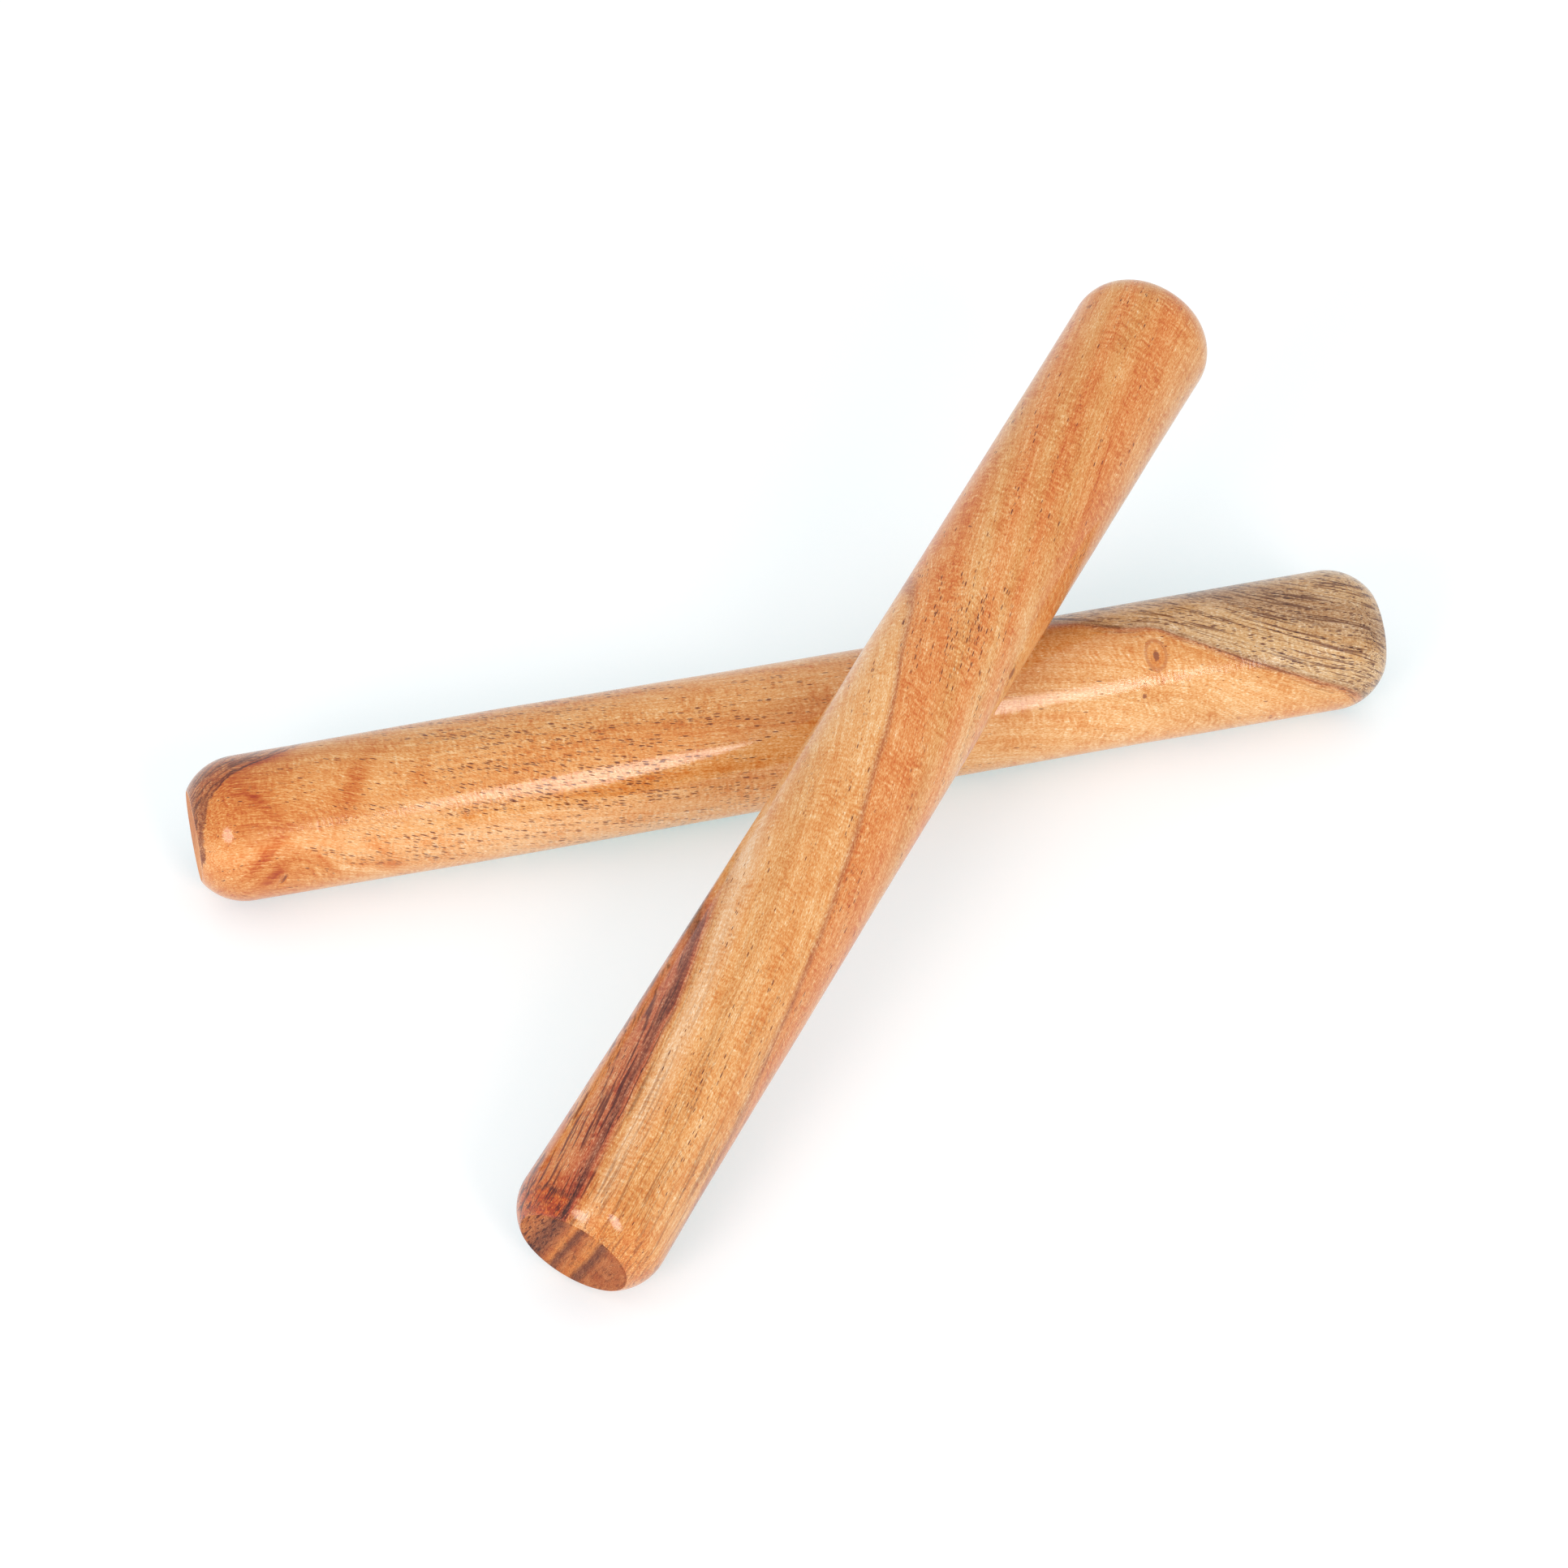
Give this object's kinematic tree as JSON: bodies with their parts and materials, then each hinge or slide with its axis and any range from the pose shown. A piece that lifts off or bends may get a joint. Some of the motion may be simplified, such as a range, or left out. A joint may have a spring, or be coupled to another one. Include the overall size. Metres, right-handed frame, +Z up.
{
  "type": "claves",
  "caption": "Solid hardwood sticks for striking together, with rounded shoulders and flat end faces, put down crossed on a surface.",
  "frame": {"origin": "on the ground plane, under the middle of the pair's outer box", "axes": "+X along the resting clave, +Z up; the striking clave leans up towards +X and +Y"},
  "size_m": [0.203, 0.1594, 0.06],
  "materials": {
    "resting_wood": "satin-gloss clear lacquer over honey hardwood",
    "striking_wood": "satin-gloss clear lacquer over orange-brown hardwood"
  },
  "bodies": {
    "resting": {"resting_clave": "resting_wood"},
    "striking": {"striking_clave": "striking_wood"}
  },
  "joints": [
    {"name": "strike_swing", "type": "hinge", "parent": "resting", "child": "striking", "pos_m": [-0.05511, -0.06832, 0.00831], "axis": [0.7373, -0.6756, 0], "range_deg": [0, 35]}
  ]
}
